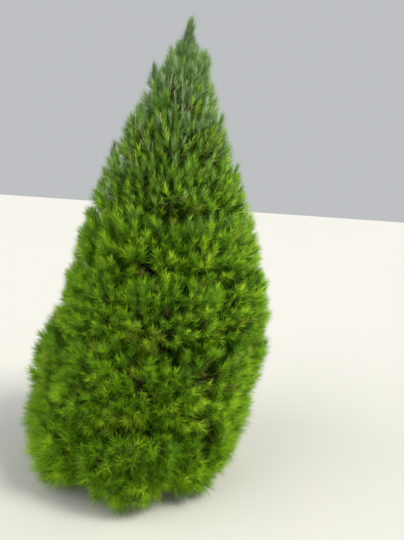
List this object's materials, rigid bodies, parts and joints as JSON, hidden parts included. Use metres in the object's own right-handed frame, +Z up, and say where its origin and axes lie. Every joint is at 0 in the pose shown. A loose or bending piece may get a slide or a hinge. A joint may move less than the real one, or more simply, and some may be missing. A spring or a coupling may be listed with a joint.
{
  "type": "pine tree",
  "caption": "Young pine clipped to a dense cone: a leaning tapered trunk, whorls of boughs, masses of long needles from a low skirt up to a pointed leader",
  "frame": {"origin": "the middle of the flat cut under the trunk, at ground level", "axes": "+Z up the tree, -Y towards the side that the picture shows, +X to that view's right, the way the trunk leans"},
  "size_m": [1.3616, 1.3239, 2.42],
  "materials": {
    "bark": "rough fissured grey-brown bark",
    "bough_bark": "scaly brown bark, paler on young twigs",
    "needles": "waxy bright green needles",
    "top_needles": "waxy grey-green needles"
  },
  "bodies": {
    "root": {"trunk": "bark", "bough_1_1": "bough_bark", "bough_1_2": "bough_bark", "bough_1_3": "bough_bark", "bough_1_4": "bough_bark", "bough_1_5": "bough_bark", "bough_1_6": "bough_bark", "bough_1_7": "bough_bark", "bough_2_1": "bough_bark", "bough_2_2": "bough_bark", "bough_2_3": "bough_bark", "bough_2_4": "bough_bark", "bough_2_5": "bough_bark", "bough_2_6": "bough_bark", "bough_3_1": "bough_bark", "bough_3_2": "bough_bark", "bough_3_3": "bough_bark", "bough_3_4": "bough_bark", "bough_3_5": "bough_bark", "bough_3_6": "bough_bark", "needles_1_1": "needles", "needles_1_2": "needles", "needles_1_3": "needles", "needles_1_4": "needles", "needles_1_5": "needles", "needles_1_6": "needles", "needles_1_7": "needles", "needles_2_1": "needles", "needles_2_2": "needles", "needles_2_3": "needles", "needles_2_4": "needles", "needles_2_5": "needles", "needles_2_6": "needles", "needles_3_1": "needles", "needles_3_2": "needles", "needles_3_3": "needles", "needles_3_4": "needles", "needles_3_5": "needles", "needles_3_6": "needles", "needles_4_1": "needles", "needles_4_2": "needles", "needles_4_3": "needles", "needles_4_4": "needles", "needles_4_5": "needles", "needles_4_6": "needles", "needles_5_1": "needles", "needles_5_2": "needles", "needles_5_3": "needles", "needles_5_4": "needles", "needles_5_5": "needles", "needles_6_1": "needles", "needles_6_2": "needles", "needles_6_3": "needles", "needles_6_4": "needles", "needles_7_1": "top_needles", "needles_7_2": "top_needles", "needles_7_3": "top_needles", "needles_leader": "top_needles"}
  },
  "joints": []
}
